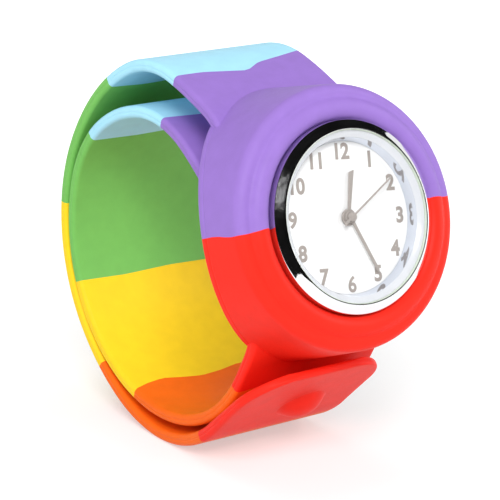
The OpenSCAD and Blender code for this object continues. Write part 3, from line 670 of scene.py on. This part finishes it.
# Housing, in the radius from the dial's middle and the height to the front
CREST, CREST_R = np.array([16.3, -1.65]), 1.7           # the round ring at the front
SHOULDER, SHOULDER_R = np.array([18.467, -2.65]), 1.6   # the round shoulder outside it
FILLET = 0.8                    # radius of the hollow between them
CREST_POINTS, FILLET_POINTS, SHOULDER_POINTS = 14, 8, 12
SLANT = math.radians(4.5)       # of the wall
LIP_R, BORE_R = 14.6, 13.1      # the cup's bore for the bezel, and for the case
CUP_Z, SEAT_Z = -6.7, -1.5      # floor of the cup, and its seat for the bezel
POCKET = 6.6                    # half of the crown's pocket, in degrees
POCKET_R, POCKET_TOP_R = LIP_R - 0.01, LIP_R - 0.005
# The cup from its middle to the lip: radius, height, and the radius in the crown's pocket
CUP_LINE = [
    (0.02, CUP_Z, 0.02), (6.0, CUP_Z, 6.0), (12.6, CUP_Z, 12.6),
    (BORE_R - 0.15, CUP_Z + 0.05, POCKET_R), (BORE_R, CUP_Z + 0.2, POCKET_R), (BORE_R, -4.0, POCKET_R),
    (BORE_R, SEAT_Z - 0.15, POCKET_R), (BORE_R + 0.12, SEAT_Z, POCKET_TOP_R),
    (LIP_R - 0.15, SEAT_Z, POCKET_TOP_R), (LIP_R, SEAT_Z - 0.08, LIP_R),
]
RIM_R = 31.75                   # radius to which the back is curved
UNDER_STRAP = 0.5               # how far the back rises to meet the strap
UNDER_FADE = 0.7                # over what width that rise begins
RIM_EASE, RIM_LEAST = 0.42, 0.05    # rounding of the rim: more beside the strap, least behind it
RIM_POINTS = 8
FOOT_GUESS, FOOT_ROUNDS = -15.0, 12     # the rim's height is found from a guess, in rounds
WALL_SHARES = (0.08, 0.25, 0.45, 0.65, 0.8)
WALL_CLEAR = 1.6                # the plain wall ends this far from the rim
GROOVE = ((1.42, 0.0), (1.34, 0.07), (1.26, 0.07), (1.18, 0.0), (0.95, 0.0))    # from the rim, deep
BACK_SHARES = (0.92, 0.8, 0.65, 0.45, 0.25, 0.1)
BORDER_FADE = 25                # degrees over which the colour border's shift fades
# Waves of that border: how high, how fast they turn with the radius and with the height, and start
BORDER_WAVES = ((0.12, 1.3, 0.7, 0.0), (0.10, 0.0, 0.9, 1.0))
BORDER_LEAST_R, BORDER_MOST = 1.5, 0.4
AROUND = 240


def arc(centre, r, start, end, n, way):
    """n points round the centre from start to end, anticlockwise if way is 1."""
    a0 = math.atan2(*(start - centre)[::-1])
    a1 = math.atan2(*(end - centre)[::-1])
    while way * (a1 - a0) < 0:
        a1 += way * 2 * math.pi
    return [centre + r * np.array([math.cos(v), math.sin(v)]) for v in np.linspace(a0, a1, n)]


def front_profile():
    """Points from the lip over the crest and the shoulder to the wall, and the wall's first one."""
    gap = np.hypot(*(SHOULDER - CREST))
    a, b = CREST_R + FILLET, SHOULDER_R + FILLET
    x = (gap * gap + a * a - b * b) / (2 * gap)
    y = math.sqrt(a * a - x * x)
    u = (SHOULDER - CREST) / gap
    hollow = CREST + u * x + np.array([-u[1], u[0]]) * y
    on_crest = CREST + (hollow - CREST) * CREST_R / a
    on_shoulder = SHOULDER + (hollow - SHOULDER) * SHOULDER_R / b
    lip = CREST + np.array([-CREST_R, 0])
    wall = SHOULDER + SHOULDER_R * np.array([math.cos(SLANT), math.sin(SLANT)])
    pts = arc(CREST, CREST_R, lip, on_crest, CREST_POINTS, -1)
    pts += arc(hollow, FILLET, on_crest, on_shoulder, FILLET_POINTS, 1)[1:]
    pts += arc(SHOULDER, SHOULDER_R, on_shoulder, wall, SHOULDER_POINTS, -1)[1:]
    return pts, wall


def cup_rings(theta):
    """Rings of the cup, whose wall is opened for the crown."""
    around = (np.degrees(theta) + math.degrees(TURN) + 180) % 360 - 180
    pocket = np.abs(around) < POCKET
    return [(np.where(pocket, in_pocket, r), np.full(len(theta), y)) for r, y, in_pocket in CUP_LINE]


def bezier(a, b, c, f):
    return a * (1 - f) ** 2 + 2 * b * f * (1 - f) + c * f * f


def outer_rings(theta, wall):
    """Rings of the wall with its groove, the rounded rim, and the curved back."""
    ct, st = np.cos(theta), np.sin(theta)

    def wall_r(y):
        return wall[0] + (wall[1] - y) * math.tan(SLANT)

    def curved(r):
        return -(WRIST[0] - np.sqrt(RIM_R ** 2 - (r * st) ** 2))

    foot_y = np.full(len(theta), FOOT_GUESS)
    for _ in range(FOOT_ROUNDS):
        foot_y = curved(wall_r(foot_y))
    under = np.clip((HALF_W - np.abs(wall_r(foot_y) * ct)) / UNDER_FADE, 0, 1)
    foot_y = foot_y + UNDER_STRAP * under
    foot_r = wall_r(foot_y)
    down = np.array([math.sin(SLANT), -math.cos(SLANT)])
    length = np.hypot(foot_r - wall[0], foot_y - wall[1])
    rings = []
    for f in WALL_SHARES:
        d = (length - WALL_CLEAR) * f / WALL_SHARES[-1]
        rings.append((wall[0] + down[0] * d, wall[1] + down[1] * d))
    for back, dent in GROOVE:
        d = length - back
        rings.append((wall[0] + down[0] * d - dent, wall[1] + down[1] * d))
    ease = RIM_EASE * (1 - under) + RIM_LEAST
    start_r, start_y = foot_r - down[0] * ease, foot_y - down[1] * ease
    end_r = foot_r - ease
    end_y = curved(end_r) + UNDER_STRAP * under
    for f in np.linspace(0, 1, RIM_POINTS):
        rings.append((bezier(start_r, foot_r, end_r, f), bezier(start_y, foot_y, end_y, f)))
    for f in BACK_SHARES:
        rings.append((end_r * f, curved(end_r * f) + UNDER_STRAP * under))
    return rings


def bordered(ang, rr, yy):
    """Angles of the rings' points, moved so that the colours meet in a slightly uneven line."""
    lift = BORDER_Z
    for high, by_r, by_y, start in BORDER_WAVES:
        lift = lift + high * np.sin(rr * by_r + yy * by_y + start)
    step = np.arcsin(np.clip(lift / np.maximum(rr, BORDER_LEAST_R), -BORDER_MOST, BORDER_MOST))
    right = np.degrees((ang + math.pi) % (2 * math.pi) - math.pi)
    left = np.degrees((ang + 2 * math.pi) % (2 * math.pi) - math.pi)
    fall_right = np.clip(1 - np.abs(right) / BORDER_FADE, 0, 1)
    fall_left = np.clip(1 - np.abs(left) / BORDER_FADE, 0, 1)
    return ang + step * fall_right - step * fall_left


def housing():
    """Points and faces of the housing, and for each face whether it is in the lower half."""
    theta = np.linspace(0, 2 * math.pi, AROUND, endpoint=False)
    front, wall = front_profile()
    rings = cup_rings(theta)
    rings += [(np.full(AROUND, r), np.full(AROUND, y)) for r, y in front]
    rings += outer_rings(theta, wall)
    rr = np.array([r for r, y in rings])
    yy = np.array([y for r, y in rings])
    ang = bordered(np.tile(theta, (len(rings), 1)), rr, yy)
    verts = world(np.stack([rr * np.cos(ang), -yy, rr * np.sin(ang)], -1)).reshape(-1, 3)
    faces = grid_faces(len(rings), AROUND, flip=True)
    is_low = [i % AROUND >= AROUND // 2 for i in range(len(faces))]
    for ring, flip in ((0, False), (len(rings) - 1, True)):
        middle = len(verts)
        verts = np.vstack([verts, world((0, -yy[ring].mean(), 0))])
        for k in range(AROUND):
            a, b = ring * AROUND + k, ring * AROUND + (k + 1) % AROUND
            faces.append((middle, a, b) if flip else (middle, b, a))
            is_low.append(k >= AROUND // 2)
    return verts, faces, is_low


def split(name, whole, low, colour):
    """One colour of the housing as a mesh of its own."""
    verts, faces, is_low = whole
    keep = [f for f, i in zip(faces, is_low) if i == low]
    used = sorted({v for f in keep for v in f})
    where = {v: i for i, v in enumerate(used)}
    return make(name, verts[used], [[where[v] for v in f] for f in keep], colour, "head")


whole_housing = housing()
for o, colour, stood in (
        (split("housing_skin_purple", whole_housing, False, "purple"), "purple", "housing_upper"),
        (split("housing_skin_red", whole_housing, True, "red"), "red", "housing_lower"),
        (root("root_skin_purple", True, "purple"), "purple", "root_upper"),
        (root("root_skin_red", False, "red"), "red", "root_lower")):
    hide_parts(stood)
spring = head_spring()
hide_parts("band_head")

# Numerals, printed on the dial
DIAL_Z = -1.7                   # face of the dial behind the bezel's centre
NUMERAL_R, NUMERAL_H = 9.92, 2.5
NARROW = 0.96
PRINT_UP, PRINT_T = 0.004, 0.012
FORM_HALF_T = 0.004             # of the letter form, before it is brought to PRINT_T
# How much bolder a numeral is cut than the plain letter form; 6 and 9 tear if cut as bold as the rest
BOLDER = 0.037
BOLDER_AT = {6: 0.026, 9: 0.033}


def letter_form(i):
    """Points and faces of numeral i, as the plain letter form has them."""
    cu = bpy.data.curves.new("digit_%d" % i, "FONT")
    cu.body = str(i)
    cu.size = 1.0
    cu.offset = BOLDER_AT.get(i, BOLDER)
    cu.extrude = FORM_HALF_T
    cu.align_x, cu.align_y = "LEFT", "BOTTOM_BASELINE"
    o = bpy.data.objects.new("digit", cu)
    bpy.context.scene.collection.objects.link(o)
    bpy.context.view_layer.update()
    shown = o.evaluated_get(bpy.context.evaluated_depsgraph_get())
    me = shown.to_mesh()
    co = np.array([v.co for v in me.vertices], float)
    polys = [list(p.vertices) for p in me.polygons]
    shown.to_mesh_clear()
    bpy.data.objects.remove(o)
    bpy.data.curves.remove(cu)
    return co, polys


def numerals():
    """The twelve numerals round the dial, as one mesh."""
    verts, faces = [], []
    for i in range(1, 13):
        co, polys = letter_form(i)
        lo, hi = co.min(0), co.max(0)
        k = NUMERAL_H / (hi[1] - lo[1])
        x = (co[:, 0] - (lo[0] + hi[0]) / 2) * k * NARROW
        y = (co[:, 1] - (lo[1] + hi[1]) / 2) * k
        z = DIAL_Z + PRINT_UP + (co[:, 2] - lo[2]) / (hi[2] - lo[2]) * PRINT_T
        a = math.radians(30 * i)
        pts = np.stack([x + NUMERAL_R * math.sin(a), y + NUMERAL_R * math.cos(a), z], -1)
        base = len(verts)
        verts += list(module(pts))
        faces += [[base + v for v in f] for f in polys]
    return make("dial_numerals", verts, faces, "print", "module", smooth=False)


numerals()

# Turned pieces of the module, as outlines of radius and height to the front
GLASS_Z, GLASS_LOW, GLASS_R, GLASS_BEVEL = 1.0, 0.62, 12.84, 0.12
RING_R, SEAL_R, BEZEL_R = 11.95, 12.98, 14.5
DIAL_R, DIAL_HOLE_R, DIAL_T = 11.4, 0.9, 0.4
TURNED_AROUND = 180
SHARP = math.radians(35)
GLASS_LINE = [(GLASS_R, GLASS_LOW), (GLASS_R, GLASS_Z - GLASS_BEVEL), (GLASS_R - GLASS_BEVEL, GLASS_Z)]
RING_LINE = [(11.42, DIAL_Z), (RING_R, DIAL_Z), (RING_R, -0.02), (11.84, 0.0)]
LEDGE_LINE = [(11.96, -0.25), (GLASS_R, 0.25), (GLASS_R, GLASS_LOW - 0.01), (12.7, GLASS_LOW - 0.06),
              (11.9, 0.04), (11.86, 0.0), (11.96, -0.03)]
SEAL_LINE = [(11.97, -0.7), (SEAL_R, -0.7), (SEAL_R, GLASS_Z - 0.02), (12.92, GLASS_Z + 0.03),
             (12.86, GLASS_Z - 0.03), (12.86, 0.25), (11.97, -0.25)]
BEZEL_LINE = [(13.05, -1.4), (BEZEL_R, -1.4), (BEZEL_R, 0.12), (14.46, 0.2), (14.36, 0.26), (13.9, 0.58),
              (13.5, 0.86), (13.16, 1.08), (13.08, 1.1), (13.0, 1.07), (13.0, 0.6)]
DIAL_LINE = [(DIAL_HOLE_R, DIAL_Z - DIAL_T), (DIAL_R, DIAL_Z - DIAL_T), (DIAL_R, DIAL_Z), (6.0, DIAL_Z),
             (DIAL_HOLE_R, DIAL_Z)]


def turned(name, line, material, caps=False):
    """A turned piece of the module, with flat caps or with a bore."""
    n = TURNED_AROUND
    a = np.linspace(0, 2 * math.pi, n, endpoint=False)
    rings = np.array([np.stack([r * np.cos(a), r * np.sin(a), np.full(n, z)], -1) for r, z in line])
    faces = grid_faces(len(line), n)
    last = (len(line) - 1) * n
    if caps:
        faces += [list(range(n))[::-1], list(range(last, last + n))]
    else:
        faces += [(last + k, last + (k + 1) % n, (k + 1) % n, k) for k in range(n)]
    o = make(name, module(rings).reshape(-1, 3), faces, material, "module")
    # a cap has more than four corners, and stays flat
    o.data.polygons.foreach_set("use_smooth", [len(p.vertices) <= 4 for p in o.data.polygons])
    o.data.set_sharp_from_angle(angle=SHARP)
    return o


glass = turned("glass_clear", GLASS_LINE, "glass", caps=True)
ring = turned("inner_ring", RING_LINE, "rehaut")
ledge = turned("glass_ledge", LEDGE_LINE, "ledge")
seal = turned("glass_seal", SEAL_LINE, "nylon")
bezel = turned("bezel_ring", BEZEL_LINE, "chrome")
face = turned("dial_face", DIAL_LINE, "dial")
for o, slot, stood in ((glass, "crystal_glass", "crystal"), (ring, "bezel_chrome", "rehaut"),
                       (seal, "gasket_nylon", "crystal_gasket"), (bezel, "bezel_chrome", "bezel"),
                       (face, "dial_white", "dial")):
    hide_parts(stood)

# Hands: outlines with y to the point
HAND_T = 0.15
BEVEL_AT, BEVEL_W, BEVEL_L = 0.7, 0.8, 0.985    # shares of the thickness, the width and the length
HOUR_L, MINUTE_L, SECOND_L, POINT_L = 7.2, 9.6, 9.6, 0.5
HOUR_BLADE = [(-0.24, 0), (0.24, 0), (0.45, HOUR_L), (-0.45, HOUR_L - POINT_L)]
MINUTE_BLADE = [(-0.26, 0), (0.26, 0), (0.26, MINUTE_L - POINT_L), (0, MINUTE_L),
                (-0.26, MINUTE_L - POINT_L)]
SECOND_BLADE = [(-0.15, 0), (0.15, 0), (0.13, SECOND_L), (-0.13, SECOND_L)]
SECOND_TAIL = [(-0.22, -1.9), (0.22, -1.9), (0.22, 0), (-0.22, 0)]
HUB_AROUND = 48
HUB_BELOW = 0.12                # the hub begins this far below the blade
# Its steps above the blade's face: share of the hub's radius, less this, and height
HUB_STEPS = ((1.0, 0.0, 0.02), (1.0, 0.06, 0.08), (0.62, 0.0, 0.10), (0.58, 0.0, 0.16))
# name, body, angle from 12 in degrees, outlines, radius of the hub, height of the blade's back, node
HANDS = [
    ("blade_hour", "hours", 9.0, [HOUR_BLADE], 1.25, -1.32, "hour_hand"),
    ("blade_minute", "minutes", 151.5, [MINUTE_BLADE], 0.92, -0.88, "minute_hand"),
    ("blade_second", "seconds", 54, [SECOND_BLADE, SECOND_TAIL], 0.7, -0.36, "second_hand"),
]


def hand(name, body, angle, shapes, hub, low):
    """A hand: flat blades with bevelled edges, and a hub of stepped discs."""
    verts, faces = [], []
    ca, sa = math.cos(math.radians(angle)), math.sin(math.radians(angle))

    def add(loops):
        base, n = len(verts), len(loops[0])
        for loop in loops:
            verts.extend((x * ca + y * sa, -x * sa + y * ca, z) for x, y, z in loop)
        faces.extend([base + v for v in f] for f in grid_faces(len(loops), n))
        faces.append([base + v for v in range(n)][::-1])
        faces.append([base + v for v in range((len(loops) - 1) * n, len(loops) * n)])

    high = low + HAND_T
    for shape in shapes:
        mx = sum(x for x, y in shape) / len(shape)
        my = sum(y for x, y in shape) / len(shape)
        add([[(x, y, low) for x, y in shape],
             [(x, y, low + HAND_T * BEVEL_AT) for x, y in shape],
             [(mx + (x - mx) * BEVEL_W, my + (y - my) * BEVEL_L, high) for x, y in shape]])
    steps = [(hub, low - HUB_BELOW)]
    steps += [(hub * share - less, high + up) for share, less, up in HUB_STEPS]
    around = np.linspace(0, 2 * math.pi, HUB_AROUND, endpoint=False)
    add([[(r * math.cos(v), r * math.sin(v), z) for v in around] for r, z in steps])
    return make(name, module(np.array(verts)), faces, "hand", body, smooth=False)


for *made, stood in HANDS:
    o = hand(*made)
    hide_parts(stood)

# Nodes that are kept, by their finish
KEPT = {
    "steel": ["module_case", "case_back", "battery"],
    "bridge": ["main_plate", "train_bridge"],
    "small": ["bridge_screws", "battery_clip", "stator", "quartz_can", "stem_yoke", "stem"],
    "holder": ["movement_holder", "intermediate_wheel"],
    "brass": ["second_wheel", "third_wheel", "centre_wheel", "minute_wheel", "hour_wheel"],
    "black": ["case_back_gasket", "crown_gasket"],
    "copper": ["coil"],
    "board": ["circuit_board"],
    "magnet": ["rotor"],
    "chrome": ["crown"],
}
for finish, names in KEPT.items():
    for name in names:
        materials = nodes[name].data.materials
        materials.clear()
        materials.append(MAT[finish])

# Floor, sizes in metres
FLOOR_HALF = 4.0
FLOOR_GREYS = (0.60, 0.62)
FLOOR_GRAIN = 3.0
FLOOR_GLOW = (0.15, 0.47)       # as it lights other things, and as the camera or a mirror sees it
FAR_GLOW = 0.6                  # added far from the watch
FAR_FROM, FAR_TO = 0.06, 0.4


def floor():
    """A pale floor that keeps the watch's shadow and fades to white away from it."""
    m, t, out = new_material("floor_pale")
    glow = t.nodes.new("ShaderNodeEmission")
    glow.inputs["Color"].default_value = WHITE
    path = t.nodes.new("ShaderNodeLightPath")
    seen = maths(t, "MAXIMUM", path.outputs["Is Camera Ray"], path.outputs["Is Glossy Ray"])
    co = t.nodes.new("ShaderNodeTexCoord")
    away = t.nodes.new("ShaderNodeVectorMath")
    away.operation = "LENGTH"
    t.links.new(co.outputs["Object"], away.inputs[0])
    far = ranged(t, away.outputs["Value"], 0.0, FAR_GLOW, FAR_FROM, FAR_TO)
    total = maths(t, "ADD", ranged(t, seen, *FLOOR_GLOW, 0.0, 1.0), far)
    t.links.new(total, glow.inputs["Strength"])
    both = t.nodes.new("ShaderNodeAddShader")
    t.links.new(matt(t, FLOOR_GRAIN, *FLOOR_GREYS).outputs[0], both.inputs[0])
    t.links.new(glow.outputs[0], both.inputs[1])
    t.links.new(both.outputs[0], out.inputs["Surface"])
    MAT["floor"] = m
    corners = [(-FLOOR_HALF, -FLOOR_HALF, 0), (FLOOR_HALF, -FLOOR_HALF, 0),
               (FLOOR_HALF, FLOOR_HALF, 0), (-FLOOR_HALF, FLOOR_HALF, 0)]
    make("floor", corners, [(0, 1, 2, 3)], "floor")


floor()

# Dark card on the camera's side, sizes in metres
CARD_GREYS = (0.004, 0.008)
CARD_GRAIN = 5.0
CARD_AXIS = np.array([-0.25, -0.60, 0.76])  # towards its middle, against the upright head
CARD_R = 0.7
CARD_FROM, CARD_WIDE = 0.5, 85.5    # degrees from that axis to its first ring, and on to its last
CARD_RINGS, CARD_AROUND = 24, 96
CARD_OFF_FLOOR = 0.001
CARD_LEVEL = 1e-6               # a direction that falls less than this counts as level


def card():
    """A dark bowl of card round the camera's side, which only mirroring surfaces see."""
    m, t, out = new_material("card_dark")
    t.links.new(matt(t, CARD_GRAIN, *CARD_GREYS).outputs[0], out.inputs["Surface"])
    MAT["card"] = m
    axis = CARD_AXIS / np.linalg.norm(CARD_AXIS)
    side = np.cross(axis, (0, 0, 1.0))
    side = side / np.linalg.norm(side)
    over = np.cross(side, axis)
    centre = world((0, 0, 0))
    verts = []
    for j in range(CARD_RINGS + 1):
        spread = math.radians(CARD_FROM + CARD_WIDE * j / CARD_RINGS)
        for k in range(CARD_AROUND):
            a = 2 * math.pi * k / CARD_AROUND
            rim = side * math.cos(a) + over * math.sin(a)
            d = lean(axis * math.cos(spread) + rim * math.sin(spread))
            falls = d[2] <= -CARD_LEVEL
            reach = min(CARD_R, (centre[2] - CARD_OFF_FLOOR) / -d[2]) if falls else CARD_R
            verts.append(centre + d * reach)
    o = make("card", verts, grid_faces(CARD_RINGS + 1, CARD_AROUND), "card")
    o.visible_camera = False
    o.visible_diffuse = False
    o.visible_shadow = False
    o.visible_transmission = False


card()

# World and lamps
SKY_LIT, SKY_SEEN = 0.30, 1.0


def sky():
    """A sky that is white to the camera and in mirrors, and lights the watch less."""
    w = bpy.data.worlds.new("world")
    bpy.context.scene.world = w
    w.use_nodes = True
    t = w.node_tree
    t.nodes.clear()
    out = t.nodes.new("ShaderNodeOutputWorld")
    lit, seen = t.nodes.new("ShaderNodeBackground"), t.nodes.new("ShaderNodeBackground")
    for shader, strength in ((lit, SKY_LIT), (seen, SKY_SEEN)):
        shader.inputs["Color"].default_value = WHITE
        shader.inputs["Strength"].default_value = strength
    path = t.nodes.new("ShaderNodeLightPath")
    direct = maths(t, "MAXIMUM", path.outputs["Is Camera Ray"], path.outputs["Is Glossy Ray"])
    is_seen = maths(t, "MAXIMUM", direct, path.outputs["Is Transmission Ray"])
    t.links.new(mixed(t, is_seen, lit, seen), out.inputs["Surface"])


sky()

LIT_AT = Vector((0, 0, 0.03))
# name: place and size in metres, and watts
LAMPS = {
    "key": ((-0.60, -0.90, 0.88), 0.5, 12.3),
    "side": ((-1.0, -0.15, 0.35), 0.5, 2.4),
    "fill": ((0.95, -0.55, 0.5), 0.7, 5.5),
    "top": ((0.0, 0.25, 1.2), 0.9, 3.5),
}
for name, (at, size, watts) in LAMPS.items():
    lamp = bpy.data.lights.new(name, "AREA")
    lamp.shape, lamp.size, lamp.energy = "SQUARE", size, watts
    o = bpy.data.objects.new(name, lamp)
    bpy.context.scene.collection.objects.link(o)
    o.location = at
    o.rotation_mode = "QUATERNION"
    o.rotation_quaternion = (LIT_AT - Vector(at)).to_track_quat("-Z", "Y")

bpy.context.scene.view_settings.view_transform = "Standard"
